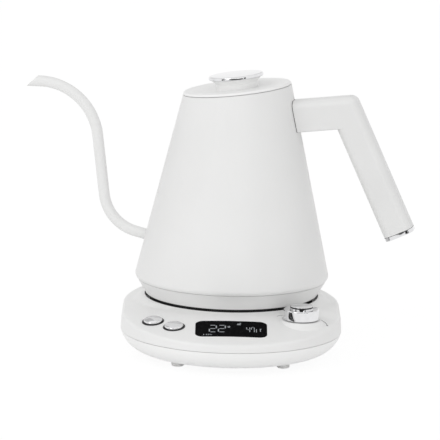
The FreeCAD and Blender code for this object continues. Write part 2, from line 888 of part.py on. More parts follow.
def foot_points():
    return [Vector(side * foot_x, y, 0) for side in both for y in (panel_centre_y - foot_front, foot_back)]


power_board_y = panel_centre_y - power_board_setback
gland_face = bowl_reach(base_seam_z, base_floor_z, bowl_round) - gland_boss


def make_lower_housing():
    head_radius = base_screw[0]
    shank_radius = base_screw[2]
    outer = stadium_solid(bowl_section(0))
    shell = outer.cut(stadium_solid(bowl_section(base_wall)))
    posts = at_points(cylinder(screw_post_radius, base_seam_z), base_screw_points())
    board_x = power_board_size[0] / 2 - power_board_corner
    board_y = power_board_size[1] / 2 - power_board_corner
    board_points = [Vector(sx * board_x, power_board_y + sy * board_y, 0) for sx in both for sy in both]
    posts += at_points(cylinder(power_board_post, power_board_z), board_points)
    posts = [post.common(outer) for post in posts]
    boss = Part.makeCylinder(gland_radius + gland_flange, 2 * gland_length,
                             Vector(0, gland_face - 2 * gland_length, gland_z), along_y)
    boss = boss.cut(stadium_solid(bowl_section(base_wall)))
    shell = joined([shell, boss] + posts)
    access = cylinder(head_radius + running, base_seam_z - screw_floor)
    through = cylinder(shank_radius + slip, base_seam_z)
    pocket = cylinder(foot_radius + slip, base_floor_z + foot_socket)
    groove = stadium_loft(base_radius + base_groove, base_seam_z - base_groove, base_seam_z + base_groove)
    groove_core = stadium_loft(base_radius - base_wall / 2, base_seam_z - base_wall, base_seam_z + base_wall)
    groove = groove.cut(groove_core)
    gland_hole = Part.makeCylinder(gland_radius + fit, 4 * gland_length,
                                   Vector(0, gland_face - 2 * gland_length, gland_z), along_y)
    cuts = at_points(access, base_screw_points()) + at_points(through, base_screw_points())
    cuts += at_points(pocket, foot_points())
    gland_seat = Part.makeCylinder(gland_radius + gland_flange + running, 2 * gland_length,
                                   Vector(0, gland_face, gland_z), along_y)
    nodes["base_lower_housing"] = shell.cut(cuts + [groove, gland_hole, gland_seat])


def panel_prism(width, depth, low, high):
    return placed(rounded_plate(width, depth, display_corner, low, high), display_place)


def display_post_points():
    x = display_width / 2 + display_post_out
    y = display_depth / 2 - display_post_in
    return [Vector(sx * x, sy * y, 0) for sx in both for sy in both]


def button_post_points():
    return [Vector(0, side * button_post, 0) for side in both]


seat_underside = seat_z - seat_floor
plinth_reach = knob_radius + plinth_margin
module_low = -frame_depth - module_thickness
switch_top = -stem_length - button_travel - slip
button_board_top = switch_top - switch_height
ring_outer = button_radius + running + ring_width


def cover_shell():
    """Crowned skin with its top edge rounded."""
    outer = stadium_loft(base_radius, base_seam_z, cover_top_z).common(crown_solid(0))
    rim = [edge for edge in outer.Edges if edge.BoundBox.ZMin > base_seam_z + base_groove]
    inner = stadium_loft(base_radius - base_wall, base_seam_z - base_groove, cover_top_z)
    return outer.makeFillet(base_edge_round, rim).cut(inner.common(crown_solid(base_wall)))


def cover_additions():
    """Seat and its level lip, display frame, knob plinth and the posts under the skin."""
    half_skin = crown_solid(base_wall / 2)
    seat = cylinder(seat_radius + base_wall, rim_z, seat_underside).common(half_skin)
    lip_radius = seat_radius + seat_lip
    lip = Part.makeCone(lip_radius + seat_lip_spread, lip_radius, seat_lip_drop, up * (rim_z - seat_lip_drop))
    lip = lip.cut(cylinder(seat_radius - base_wall, cover_top_z))
    frame = panel_prism(display_width + frame_margin[0], display_depth + frame_margin[1],
                        -frame_depth, frame_depth).common(half_skin)
    plinth = placed(Part.makeCone(plinth_reach + plinth_spread, plinth_reach, plinth_drop), knob_axis)
    plinth.translate(up * (plinth_z - plinth_drop))
    screw_post = cylinder(screw_post_radius, seat_z - base_seam_z - fit, base_seam_z)
    posts = at_points(screw_post, base_screw_points())
    display_post = cylinder(display_post_radius, module_thickness + fit, module_low)
    posts += [placed(post, display_place) for post in at_points(display_post, display_post_points())]
    button_post_bar = cylinder(button_post_radius, -button_board_top - base_wall / 2, button_board_top)
    posts += [placed(post, button_board_place) for post in at_points(button_post_bar, button_post_points())]
    return [seat, lip, frame, plinth] + posts


def cover_cuts():
    """Seat, knob well, display opening, button holes, plug hole and screw holes."""
    seat = cylinder(seat_radius, cover_top_z, seat_z)
    knob_well = placed(cylinder(plinth_reach, cover_top_z, plinth_z), knob_axis)
    hollow_height = plinth_z - plinth_thickness - base_seam_z
    plinth_hollow = placed(cylinder(plinth_reach - base_wall, hollow_height, base_seam_z), knob_axis)
    bush_hole = placed(cylinder(bush_radius + slip, cover_top_z, base_seam_z), knob_axis)
    pocket = panel_prism(display_width + 2 * slip, display_depth + 2 * slip, -frame_depth, frame_depth)
    pocket = pocket.cut(crown_solid(window_thickness + 2 * slip))
    view = panel_prism(display_width - 2 * window_ledge, display_depth - 2 * window_ledge,
                       -2 * frame_depth, frame_depth)
    button_hole = cylinder(ring_outer + fit, 2 * frame_depth, -frame_depth)
    plug_hole = cylinder(plug_radius + slip, cover_top_z, base_seam_z)
    shank_radius, shank_length = base_screw[2:]
    tap = cylinder(shank_radius + fit, shank_length - screw_floor + slip, base_seam_z)
    taps = at_points(tap, base_screw_points())
    board_tap = cylinder(board_screw[2] + fit, board_screw[3] - board_thickness + slip)
    for place, low, points in ((display_place, module_low, display_post_points()),
                               (button_board_place, button_board_top, button_post_points())):
        taps += [placed(tap, place) for tap in at_points(board_tap, [p + up * low for p in points])]
    return [seat, knob_well, plinth_hollow, bush_hole, pocket, view, plug_hole,
            placed(button_hole, power_place), placed(button_hole, mode_place)] + taps


def make_top_cover():
    nodes["base_top_cover"] = joined([cover_shell()] + cover_additions()).cut(cover_cuts())


def make_base_small_parts():
    foot = turned((0, 0), (foot_radius - foot_bevel, 0), (foot_radius, foot_bevel),
                  (foot_radius, base_floor_z + foot_socket), (0, base_floor_z + foot_socket))
    nodes["base_feet"] = Part.makeCompound(at_points(foot, foot_points()))
    one = screw(base_screw)
    one.translate(up * (base_seam_z - screw_floor))
    nodes["base_screws"] = Part.makeCompound(at_points(one, base_screw_points()))
    gland = turned((gland_bore, gland_flange), (gland_bore, -gland_length), (gland_radius, -gland_length),
                   (gland_radius, 0), (gland_radius + gland_flange, 0),
                   (gland_radius + gland_flange / 2, gland_flange))
    nodes["cord_gland"] = placed(gland, frame_at(Vector(0, gland_face, gland_z), along_y, along_x))


# Display, buttons and their boards

def make_board(name, place, width, depth, top, points):
    """Circuit board under its posts, and the screws that hold it."""
    board = rounded_plate(width, depth, board_corner, top - board_thickness, top)
    holes = at_points(cylinder(board_screw[2] + slip, 2 * board_thickness, top - 2 * board_thickness), points)
    nodes[name] = placed(board.cut(holes), place)
    screws = at_points(screw(board_screw), [point + up * (top - board_thickness) for point in points])
    nodes[name + "_screws"] = Part.makeCompound([placed(one, place) for one in screws])


def make_display():
    window = panel_prism(display_width, display_depth, -frame_depth, frame_depth)
    nodes["display_window"] = window.common(crown_solid(slip)).cut(crown_solid(slip + window_thickness))
    module = rounded_plate(display_width - 2 * slip, display_depth + module_margin, board_corner,
                           module_low, -frame_depth)
    nodes["display_module"] = placed(module, display_place)
    make_board("display_board", display_place, display_width + board_margin[0],
               display_depth + board_margin[1], module_low, display_post_points())


def make_button(name, place):
    ring = turned((button_radius + running, -base_wall), (ring_outer, -base_wall),
                  (ring_outer, ring_rise - ring_round), (ring_outer - ring_round, ring_rise),
                  (button_radius + running + ring_round, ring_rise),
                  (button_radius + running, ring_rise - ring_round))
    nodes[name + "_button_ring"] = placed(ring, place)
    flange_top = -base_wall - running
    flange_low = flange_top - button_flange_height
    flange = button_radius + button_flange
    shoulder = (button_radius - button_edge_round, button_rise - button_edge_round)
    cap = turned((button_radius, flange_top), (button_radius, shoulder[1]),
                 (rounding(shoulder, button_edge_round, (1, 1)), (shoulder[0], button_rise)),
                 dome(shoulder[0], button_rise, button_rise + button_dome), (0, -stem_length),
                 (stem_radius, -stem_length), (stem_radius, flange_low), (flange, flange_low),
                 (flange, flange_top))
    nodes[name + "_button"] = placed(cap, place)
    plunger_low = -stem_length - plunger_length
    nodes[name + "_plunger"] = placed(cylinder(plunger_radius, plunger_length, plunger_low), place)
    well_low = plunger_low - button_travel - slip
    switch = block(switch_side, switch_side, button_board_top, switch_top)
    switch = switch.cut(cylinder(plunger_radius + fit, switch_top - well_low, well_low))
    nodes[name + "_switch"] = placed(switch, place)


def make_buttons():
    make_button("power", power_place)
    make_button("mode", mode_place)
    make_board("button_board", button_board_place, button_board_length, button_board_width,
               button_board_top, button_post_points())


# Temperature knob

def make_knob():
    low = plinth_z + knob_gap
    high = low + knob_height
    inner = knob_radius - knob_shell
    ceiling = high - knob_shell
    boss_top = high + knob_boss_height
    shoulder = (knob_radius - knob_edge_round, high - knob_edge_round)
    boss_shoulder = (knob_boss_radius - knob_boss_round, boss_top - knob_boss_round)
    cap = turned((knob_radius, low + knob_bevel), (knob_radius, shoulder[1]),
                 (rounding(shoulder, knob_edge_round, (1, 1)), (shoulder[0], high)),
                 (knob_boss_radius, high), (knob_boss_radius, boss_shoulder[1]),
                 (rounding(boss_shoulder, knob_boss_round, (1, 1)), (boss_shoulder[0], boss_top)),
                 dome(boss_shoulder[0], boss_top, boss_top + knob_boss_dome), (0, ceiling),
                 (inner, ceiling), (inner, low), (knob_radius - knob_bevel, low))
    nodes["temperature_knob"] = placed(cap, knob_axis)

    bush_low = plinth_z - plinth_thickness
    bush_top = bush_low + bush_height
    insert_low = bush_top + running
    shaft_top = ceiling - shaft_cover
    insert = cylinder(inner - slip, ceiling - insert_low, insert_low)
    insert = insert.cut(cylinder(shaft_radius + fit, shaft_top - insert_low, insert_low))
    nodes["knob_insert"] = placed(insert, knob_axis)
    body_low = bush_low - encoder_height
    shaft_low = body_low + encoder_floor + running
    nodes["encoder_shaft"] = placed(cylinder(shaft_radius, shaft_top - shaft_low, shaft_low), knob_axis)
    body = joined([block(encoder_side, encoder_side, body_low, bush_low),
                   cylinder(bush_radius, bush_height, bush_low)])
    body = body.cut(cylinder(shaft_radius + fit, bush_top, body_low + encoder_floor))
    nodes["encoder_body"] = placed(body, knob_axis)
    turns = [k * math.pi / 3 for k in range(6)]
    corners = [Vector(nut_radius * math.cos(turn), nut_radius * math.sin(turn), plinth_z) for turn in turns]
    nut = Part.Face(outline([(corner, 0) for corner in corners])).extrude(up * nut_height)
    nodes["encoder_nut"] = placed(nut.cut(cylinder(bush_radius + fit, cover_top_z)), knob_axis)


# Round connector

def make_connector():
    plug_top = seat_z + plug_height
    flange_low = seat_underside - plug_flange_thickness
    terminal_low = flange_low - plug_terminal_depth
    body = joined([cylinder(plug_radius, plug_top - flange_low, flange_low),
                   cylinder(plug_radius + plug_flange, plug_flange_thickness, flange_low),
                   cylinder(plug_radius - plug_terminal_step, plug_terminal_depth, terminal_low)])
    slot_outer = slot_inner_radius + slot_width
    slot_low = plug_top - slot_depth
    slot = tube(slot_outer, slot_inner_radius, 2 * slot_depth, slot_low)
    nodes["base_connector"] = body.cut([slot, cylinder(pin_hole_radius, 2 * slot_depth, slot_low)])
    ring_inner = slot_inner_radius + fit
    sleeve_outer = pin_hole_radius - fit
    contact_height = slot_depth - contact_top
    ring = tube(ring_inner + contact_thickness, ring_inner, contact_height, slot_low)
    sleeve = tube(sleeve_outer, sleeve_outer - contact_thickness, contact_height, slot_low)
    nodes["base_contacts"] = Part.makeCompound([ring, sleeve])

    ceiling = plug_top + socket_headroom
    flange_z = cover_floor_top + running
    flange_top = flange_z + socket_flange_thickness
    flange = socket_outer + socket_flange
    nodes["kettle_socket"] = turned((0, ceiling), (socket_inner, ceiling), (socket_inner, cover_floor_z),
                                    (socket_outer, cover_floor_z), (socket_outer, flange_z),
                                    (flange, flange_z), (flange, flange_top), (socket_outer, flange_top),
                                    (socket_outer, ceiling + socket_ceiling), (0, ceiling + socket_ceiling))
    blade_outer = slot_outer - plug_clearance
    blade_low = slot_low + blade_foot
    blade = tube(blade_outer, blade_outer - blade_thickness, ceiling - blade_low, blade_low)
    pin = cylinder(pin_radius, ceiling - blade_low, blade_low)
    nodes["socket_contacts"] = Part.makeCompound([blade, pin])


def make_power_parts():
    top = power_board_z + board_thickness
    wide, deep = power_board_size
    nodes["power_board"] = block(wide, deep, power_board_z, top, 0, power_board_y)
    wide, deep, high = relay_size
    nodes["relay"] = block(wide, deep, top, top + high, relay_place[0], power_board_y + relay_place[1])
    wide, deep, high = transformer_size
    less_wide, less_deep, less_high = transformer_step
    x = transformer_place[0]
    y = power_board_y + transformer_place[1]
    core = block(wide, deep - less_deep, top, top + high, x, y)
    coil = block(wide - less_wide, deep, top + less_high, top + high - less_high, x, y)
    nodes["transformer"] = joined([core, coil])
    nodes["filter_capacitor"] = cylinder(capacitor_radius, capacitor_height, top, capacitor_place[0],
                                         power_board_y + capacitor_place[1])


# Build, turn the kettle, move the origin and write one file for each piece

make_kettle_body()
make_spout_tube()
make_handle()
make_kettle_bottom()
make_heater()
kettle_names = tuple(nodes)
make_lid_cover()
make_lid_knob()
make_lower_housing()
make_top_cover()
make_base_small_parts()
make_display()
make_buttons()
make_knob()
make_connector()
make_power_parts()

for name in lid_names:
    nodes[name] = placed(nodes[name], lid_place)
for name in kettle_names + lid_names:
    nodes[name] = placed(nodes[name], kettle_place)

whole = Part.makeCompound(list(nodes.values())).optimalBoundingBox(False, False)
to_origin = Vector(-whole.Center.x, -whole.Center.y, 0)
print("kettle axis at", round(to_origin.x, 3), round(to_origin.y, 3))
os.makedirs("parts", exist_ok=True)
for name, shape in nodes.items():
    shape.translate(to_origin)
    shape.exportStep("parts/" + name + ".step")
    print(name, len(shape.Solids), "solid(s)", round(shape.Volume / 1000, 2), "cm3, valid", shape.isValid())
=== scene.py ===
import json
import math

import bpy
import numpy as np
from mathutils import Matrix, Vector


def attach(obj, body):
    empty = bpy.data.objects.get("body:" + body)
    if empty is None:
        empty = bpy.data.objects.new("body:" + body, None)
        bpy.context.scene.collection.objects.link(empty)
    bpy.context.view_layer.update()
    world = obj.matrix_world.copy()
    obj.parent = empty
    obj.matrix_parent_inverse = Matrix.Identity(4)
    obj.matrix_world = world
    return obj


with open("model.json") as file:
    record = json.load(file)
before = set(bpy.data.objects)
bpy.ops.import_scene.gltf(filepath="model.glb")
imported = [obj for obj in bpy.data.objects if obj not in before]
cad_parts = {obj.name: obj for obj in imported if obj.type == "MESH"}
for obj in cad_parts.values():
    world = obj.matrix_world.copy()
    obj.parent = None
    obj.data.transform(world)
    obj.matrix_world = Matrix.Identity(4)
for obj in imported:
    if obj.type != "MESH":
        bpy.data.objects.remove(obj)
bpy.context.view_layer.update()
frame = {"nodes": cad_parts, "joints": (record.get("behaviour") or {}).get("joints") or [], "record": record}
nodes = frame["nodes"]
joints = {joint["name"]: joint for joint in frame["joints"]}
kettleX, kettleY = joints["kettle_swivel"]["pos_m"][:2]
knobX, knobY = joints["knob_turn"]["pos_m"][:2]
perMetre = 1000  # sizes of the added pieces are in millimetres
print("frame loaded,", len(nodes), "nodes")


# camera: far back and a little above, as the photograph was taken
photoView = {"aside": -0.010, "back": 2.4, "height": 0.553, "aimHeight": 0.096, "roll": 1.1,
             "frameWidth": 0.3432, "sensor": 36.0, "near": 0.05, "far": 50.0}


def makeCamera(v):
    place = Vector((kettleX + v["aside"], kettleY - v["back"], v["height"]))
    aim = Vector((kettleX + v["aside"], kettleY, v["aimHeight"]))
    data = bpy.data.cameras.new("photoCamera")
    camera = bpy.data.objects.new("photoCamera", data)
    bpy.context.scene.collection.objects.link(camera)
    turn = (aim - place).to_track_quat("-Z", "Y").to_matrix().to_4x4()
    roll = Matrix.Rotation(math.radians(v["roll"]), 4, "Z")  # the picture leans clockwise
    camera.matrix_world = Matrix.Translation(place) @ turn @ roll
    data.sensor_width = v["sensor"]
    data.lens = v["sensor"] * (aim - place).length / v["frameWidth"]
    data.clip_start = v["near"]
    data.clip_end = v["far"]
    bpy.context.scene.camera = camera


makeCamera(photoView)
bpy.context.scene.view_settings.view_transform = "Standard"
print("camera set")


# node helpers

def newMaterial(name):
    material = bpy.data.materials.new(name)
    material.use_nodes = True
    tree = material.node_tree
    return material, tree, tree.nodes["Principled BSDF"]


def addNode(tree, kind, **inputs):
    node = tree.nodes.new(kind)
    for key, value in inputs.items():
        node.inputs[key.replace("_", " ")].default_value = value
    return node


def objectPoints(tree, stretch=(1.0, 1.0, 1.0)):
    points = tree.nodes.new("ShaderNodeTexCoord")
    mapping = addNode(tree, "ShaderNodeMapping", Scale=stretch)
    tree.links.new(points.outputs["Object"], mapping.inputs["Vector"])
    return mapping.outputs["Vector"]


def noise(tree, points, scale, detail=2.0, rough=0.5):
    node = addNode(tree, "ShaderNodeTexNoise", Scale=scale, Detail=detail, Roughness=rough)
    tree.links.new(points, node.inputs["Vector"])
    return node.outputs["Fac"]


def between(tree, value, low, high, fromLow=0.3, fromHigh=0.7):
    node = addNode(tree, "ShaderNodeMapRange", From_Min=fromLow, From_Max=fromHigh, To_Min=low, To_Max=high)
    tree.links.new(value, node.inputs["Value"])
    return node.outputs["Result"]


def larger(tree, first, second):
    node = tree.nodes.new("ShaderNodeMath")
    node.operation = "MAXIMUM"
    tree.links.new(first, node.inputs[0])
    tree.links.new(second, node.inputs[1])
    return node.outputs[0]


def tint(tree, share, first, second):
    node = tree.nodes.new("ShaderNodeMix")
    node.data_type = "RGBA"
    sockets = {s.identifier: s for s in node.inputs}
    sockets["A_Color"].default_value = (*first, 1)
    sockets["B_Color"].default_value = (*second, 1)
    tree.links.new(share, sockets["Factor_Float"])
    return next(s for s in node.outputs if s.identifier == "Result_Color")


def faded(colour, share):
    return tuple(share * c for c in colour)


def bump(tree, shader, height, strength, depth):
    node = addNode(tree, "ShaderNodeBump", Strength=strength, Distance=depth)
    tree.links.new(height, node.inputs["Height"])
    tree.links.new(node.outputs["Normal"], shader.inputs["Normal"])


# finishes: each is a slow cloud of two close colours, a grain in the bump and a patchy roughness

def satinFinish(name, look):
    material, tree, shader = newMaterial(name)
    points = objectPoints(tree)
    cloud = between(tree, noise(tree, points, look["cloudScale"]), 0.0, 1.0)
    tree.links.new(tint(tree, cloud, look["pale"], look["deep"]), shader.inputs["Base Color"])
    patches = noise(tree, points, look["patchScale"], detail=3.0)
    tree.links.new(between(tree, patches, *look["rough"]), shader.inputs["Roughness"])
    bump(tree, shader, noise(tree, points, look["grainScale"]), look["grain"], look["grainDepth"])
    shader.inputs["Specular IOR Level"].default_value = look["gloss"]
    return material


def metalFinish(name, look):
    material, tree, shader = newMaterial(name)
    lines = noise(tree, objectPoints(tree, look["stretch"]), look["lineScale"], detail=3.0, rough=0.6)
    cloud = between(tree, lines, 0.0, 1.0)
    tree.links.new(tint(tree, cloud, look["pale"], look["deep"]), shader.inputs["Base Color"])
    tree.links.new(between(tree, lines, *look["rough"]), shader.inputs["Roughness"])
    bump(tree, shader, lines, look["grain"], look["grainDepth"])
    shader.inputs["Metallic"].default_value = 1.0
    return material


satinLooks = {
    "kettle_white": {"pale": (0.83, 0.83, 0.825), "deep": (0.80, 0.80, 0.795), "cloudScale": 14,
                     "patchScale": 60, "rough": (0.36, 0.46), "grainScale": 1100, "grain": 0.10,
                     "grainDepth": 0.0001, "gloss": 0.4},
    # a paler copy of kettle_white: painted light on the lid and its knob, which the lamps leave too dark
    "lid_white_painted_paler": {"pale": (0.90, 0.90, 0.895), "deep": (0.87, 0.87, 0.865), "cloudScale": 14,
                  "patchScale": 60, "rough": (0.36, 0.46), "grainScale": 1100, "grain": 0.10,
                  "grainDepth": 0.0001, "gloss": 0.4},
    # a paler copy of base_white: painted light on the base's lower band, which faces down and the lamps
    # leave too dark
    "lower_white_painted_paler": {"pale": (0.93, 0.93, 0.925), "deep": (0.91, 0.91, 0.905), "cloudScale": 16,
                    "patchScale": 70, "rough": (0.32, 0.42), "grainScale": 1500, "grain": 0.10,
                    "grainDepth": 0.0001, "gloss": 0.45},
    "skirt_white": {"pale": (0.81, 0.81, 0.805), "deep": (0.78, 0.78, 0.775), "cloudScale": 18,
                    "patchScale": 80, "rough": (0.40, 0.50), "grainScale": 1500, "grain": 0.10,
                    "grainDepth": 0.0001, "gloss": 0.4},
    "handle_white": {"pale": (0.80, 0.80, 0.795), "deep": (0.77, 0.77, 0.765), "cloudScale": 22,
                     "patchScale": 90, "rough": (0.34, 0.44), "grainScale": 1600, "grain": 0.12,
                     "grainDepth": 0.0001, "gloss": 0.45},
    "base_white": {"pale": (0.85, 0.85, 0.845), "deep": (0.825, 0.825, 0.82), "cloudScale": 16,
                   "patchScale": 70, "rough": (0.32, 0.42), "grainScale": 1500, "grain": 0.10,
                   "grainDepth": 0.0001, "gloss": 0.45},
    "black_plastic": {"pale": (0.022, 0.022, 0.023), "deep": (0.014, 0.014, 0.015), "cloudScale": 40,
                      "patchScale": 200, "rough": (0.42, 0.58), "grainScale": 2200, "grain": 0.25,
                      "grainDepth": 0.0001, "gloss": 0.4},
    "display_black": {"pale": (0.004, 0.004, 0.0045), "deep": (0.0025, 0.0025, 0.003), "cloudScale": 60,
                      "patchScale": 300, "rough": (0.16, 0.24), "grainScale": 400, "grain": 0.01,
                      "grainDepth": 0.0001, "gloss": 0.004},
    "rubber_black": {"pale": (0.032, 0.032, 0.032), "deep": (0.020, 0.020, 0.020), "cloudScale": 60,
                     "patchScale": 250, "rough": (0.70, 0.85), "grainScale": 2600, "grain": 0.35,
                     "grainDepth": 0.00012, "gloss": 0.25},
    "silicone": {"pale": (0.94, 0.94, 0.93), "deep": (0.90, 0.90, 0.89), "cloudScale": 40,
                 "patchScale": 150, "rough": (0.50, 0.62), "grainScale": 1800, "grain": 0.12,
                 "grainDepth": 0.0001, "gloss": 0.3},
    "board_green": {"pale": (0.030, 0.20, 0.075), "deep": (0.016, 0.11, 0.045), "cloudScale": 260,
                    "patchScale": 300, "rough": (0.28, 0.42), "grainScale": 900, "grain": 0.3,
                    "grainDepth": 0.0001, "gloss": 0.5},
    "tape_yellow": {"pale": (0.76, 0.58, 0.09), "deep": (0.62, 0.45, 0.06), "cloudScale": 120,
                    "patchScale": 240, "rough": (0.30, 0.45), "grainScale": 900, "grain": 0.25,
                    "grainDepth": 0.0001, "gloss": 0.5},
    "sleeve_blue": {"pale": (0.05, 0.08, 0.26), "deep": (0.03, 0.05, 0.18), "cloudScale": 120,
                    "patchScale": 240, "rough": (0.18, 0.30), "grainScale": 900, "grain": 0.12,
                    "grainDepth": 0.0001, "gloss": 0.5},
}
metalLooks = {
    "chrome": {"pale": (0.80, 0.80, 0.81), "deep": (0.75, 0.75, 0.76), "stretch": (1, 1, 1),
               "lineScale": 240, "rough": (0.015, 0.035), "grain": 0.003, "grainDepth": 0.00005},
    "steel": {"pale": (0.62, 0.62, 0.63), "deep": (0.50, 0.50, 0.51), "stretch": (1, 14, 14),
              "lineScale": 260, "rough": (0.24, 0.38), "grain": 0.10, "grainDepth": 0.00005},
    "aluminium": {"pale": (0.76, 0.77, 0.78), "deep": (0.66, 0.67, 0.68), "stretch": (1, 1, 1),
                  "lineScale": 500, "rough": (0.34, 0.48), "grain": 0.18, "grainDepth": 0.0001},
    "brass": {"pale": (0.80, 0.60, 0.28), "deep": (0.68, 0.48, 0.20), "stretch": (6, 6, 1),
              "lineScale": 300, "rough": (0.20, 0.32), "grain": 0.08, "grainDepth": 0.00005},
}
finishes = {slot: satinFinish(slot, look) for slot, look in satinLooks.items()}
finishes.update({slot: metalFinish(slot, look) for slot, look in metalLooks.items()})
print("finishes made:", len(finishes))


# loose triangles are welded and shaded smooth up to a crease angle, by a live modifier
shading = {"weld": 0.000002, "crease": 32.0}


def smoothGroup(look):
    group = bpy.data.node_groups.new("weldAndSmooth", "GeometryNodeTree")
    group.interface.new_socket("Geometry", in_out="INPUT", socket_type="NodeSocketGeometry")
    group.interface.new_socket("Geometry", in_out="OUTPUT", socket_type="NodeSocketGeometry")
    first = group.nodes.new("NodeGroupInput")
    last = group.nodes.new("NodeGroupOutput")
    weld = group.nodes.new("GeometryNodeMergeByDistance")
    weld.inputs["Distance"].default_value = look["weld"]
    smooth = group.nodes.new("GeometryNodeSetShadeSmooth")
    crease = group.nodes.new("GeometryNodeSetShadeSmooth")
    crease.domain = "EDGE"
    crease.inputs["Shade Smooth"].default_value = False
    angle = group.nodes.new("GeometryNodeInputMeshEdgeAngle")
    sharper = group.nodes.new("FunctionNodeCompare")
    sharper.operation = "GREATER_THAN"
    sharper.inputs[1].default_value = math.radians(look["crease"])
    join = group.links.new
    join(first.outputs[0], weld.inputs["Geometry"])
    join(weld.outputs["Geometry"], smooth.inputs["Geometry"])
    join(smooth.outputs["Geometry"], crease.inputs["Geometry"])
    join(angle.outputs["Unsigned Angle"], sharper.inputs[0])
    join(sharper.outputs["Result"], crease.inputs["Selection"])
    join(crease.outputs["Geometry"], last.inputs[0])
    return group


weldAndSmooth = smoothGroup(shading)
slotOf = {entry["node"]: entry["material_slot"] for entry in frame["record"]["subparts"]}
# the lid, its knob and the base's lower housing take the paler copies above, painted light in place of their
# own finishes
slotOf.update({"lid_cover": "lid_white_painted_paler", "lid_knob": "lid_white_painted_paler", "base_lower_housing": "lower_white_painted_paler"})
for name, node in nodes.items():
    node.data.materials.clear()
    node.data.materials.append(finishes[slotOf[name]])
    node.modifiers.new("weldAndSmooth", "NODES").node_group = weldAndSmooth
    node.modifiers.new("evenNormals", "WEIGHTED_NORMAL").keep_sharp = True
print("nodes finished")


# mesh helpers

def newPiece(name, points, quads):
    mesh = bpy.data.meshes.new(name)
    mesh.from_pydata(points.tolist(), [], quads.tolist())
    mesh.update()
    piece = bpy.data.objects.new(name, mesh)
    bpy.context.scene.collection.objects.link(piece)
    return piece


def gridMesh(name, points, closed=False):
    # a rows by columns by 3 array becomes quads between neighbours
    # a closed one joins up both ways and keeps its flat faces
    rows, columns = points.shape[:2]
    index = np.arange(rows * columns).reshape(rows, columns)
    if closed:
        index = np.pad(index, ((0, 1), (0, 1)), mode="wrap")
    quads = np.stack([index[:-1, :-1], index[:-1, 1:], index[1:, 1:], index[1:, :-1]], -1).reshape(-1, 4)
    piece = newPiece(name, points.reshape(-1, 3), quads)
    piece.data.polygons.foreach_set("use_smooth", np.full(len(quads), not closed))
    return piece


# studio: pale floor, white surroundings, a large soft lamp from the front left and a weak low one in front
white = (1, 1, 1, 1)
floorLook = {"half": 6.0, "steps": 13, "pale": (0.92, 0.92, 0.92), "fade": 0.99, "cloudScale": 3.0,
             "rough": 0.9, "gloss": 0.1, "glow": 0.93, "litShare": 0.10}


def makeFloor(f):
    # a level square grid about the origin
    across = np.linspace(-f["half"], f["half"], f["steps"])
    x, y = np.meshgrid(across, across)
    floor = gridMesh("floor", np.stack([x, y, np.zeros_like(x)], -1))
    material, tree, shader = newMaterial("paleFloor")
    join = tree.links.new
    cloud = noise(tree, objectPoints(tree), f["cloudScale"])
    join(tint(tree, cloud, f["pale"], faded(f["pale"], f["fade"])), shader.inputs["Base Color"])
    shader.inputs["Roughness"].default_value = f["rough"]
    shader.inputs["Specular IOR Level"].default_value = f["gloss"]
    # the eye sees mostly white and a share of the lit floor, so a soft shadow stays
    path = tree.nodes.new("ShaderNodeLightPath")
    glow = addNode(tree, "ShaderNodeEmission", Color=white, Strength=f["glow"])
    dark = addNode(tree, "ShaderNodeEmission", Strength=0.0)
    soft = addNode(tree, "ShaderNodeMixShader", Fac=f["litShare"])
    lit = tree.nodes.new("ShaderNodeAddShader")
    seen = tree.nodes.new("ShaderNodeMixShader")
    join(dark.outputs[0], soft.inputs[1])
    join(shader.outputs[0], soft.inputs[2])
    join(soft.outputs[0], lit.inputs[0])
    join(glow.outputs[0], lit.inputs[1])
    join(larger(tree, path.outputs["Is Camera Ray"], path.outputs["Is Glossy Ray"]), seen.inputs["Fac"])
    join(shader.outputs[0], seen.inputs[1])
    join(lit.outputs[0], seen.inputs[2])
    join(seen.outputs[0], tree.nodes["Material Output"].inputs["Surface"])
    floor.data.materials.append(material)


# cards that only polished metal sees: middle, the two half sides and the grey
cardLook = {"steps": 5, "fade": 1.2, "cloudScale": 4.0, "rough": 0.9}
cards = {
    "leftCard": {"middle": (-0.79, -0.50, 0.45), "across": (0.05, -0.065, 0), "up": (0, 0, 0.45),
                 "grey": 0.015},
    "slimCard": {"middle": (-0.69, -0.63, 0.45), "across": (0.012, -0.016, 0), "up": (0, 0, 0.45),
                 "grey": 0.015},
    "rightCard": {"middle": (0.62, -0.80, 0.35), "across": (0.05, 0.045, 0), "up": (0, 0, 0.35),
                  "grey": 0.015},
    "frontCard": {"middle": (0, -1.10, 0.15), "across": (0.60, 0, 0), "up": (0, 0, 0.14), "grey": 0.015},
    "floorCard": {"middle": (0, -0.80, 0.002), "across": (0.50, 0, 0), "up": (0, 0.25, 0), "grey": 0.015},
    "capCard": {"middle": (0.011, -0.472, 0.002), "across": (0.004, 0, 0), "up": (0, 0.012, 0),
                "grey": 0.015},
    "backCard": {"middle": (-0.2, 1.0, 0.75), "across": (0.5, 0, 0), "up": (0, 0, 0.25), "grey": 0.55},
}


def makeCards(c):
    # each is a flat grid spanned by its two half sides
    share = np.linspace(-1, 1, c["steps"])
    across, upward = np.meshgrid(share, share)
    for name, look in cards.items():
        material, tree, shader = newMaterial(name)
        cloud = noise(tree, objectPoints(tree), c["cloudScale"])
        grey = (look["grey"],) * 3
        tree.links.new(tint(tree, cloud, grey, faded(grey, c["fade"])), shader.inputs["Base Color"])
        shader.inputs["Roughness"].default_value = c["rough"]
        card = gridMesh(name, np.array(look["middle"]) + across[..., None] * np.array(look["across"])
                        + upward[..., None] * np.array(look["up"]))
        card.data.materials.append(material)
        card.visible_camera = card.visible_diffuse = card.visible_shadow = card.visible_transmission = False


air = {"ambient": 0.79, "seen": 1.0}


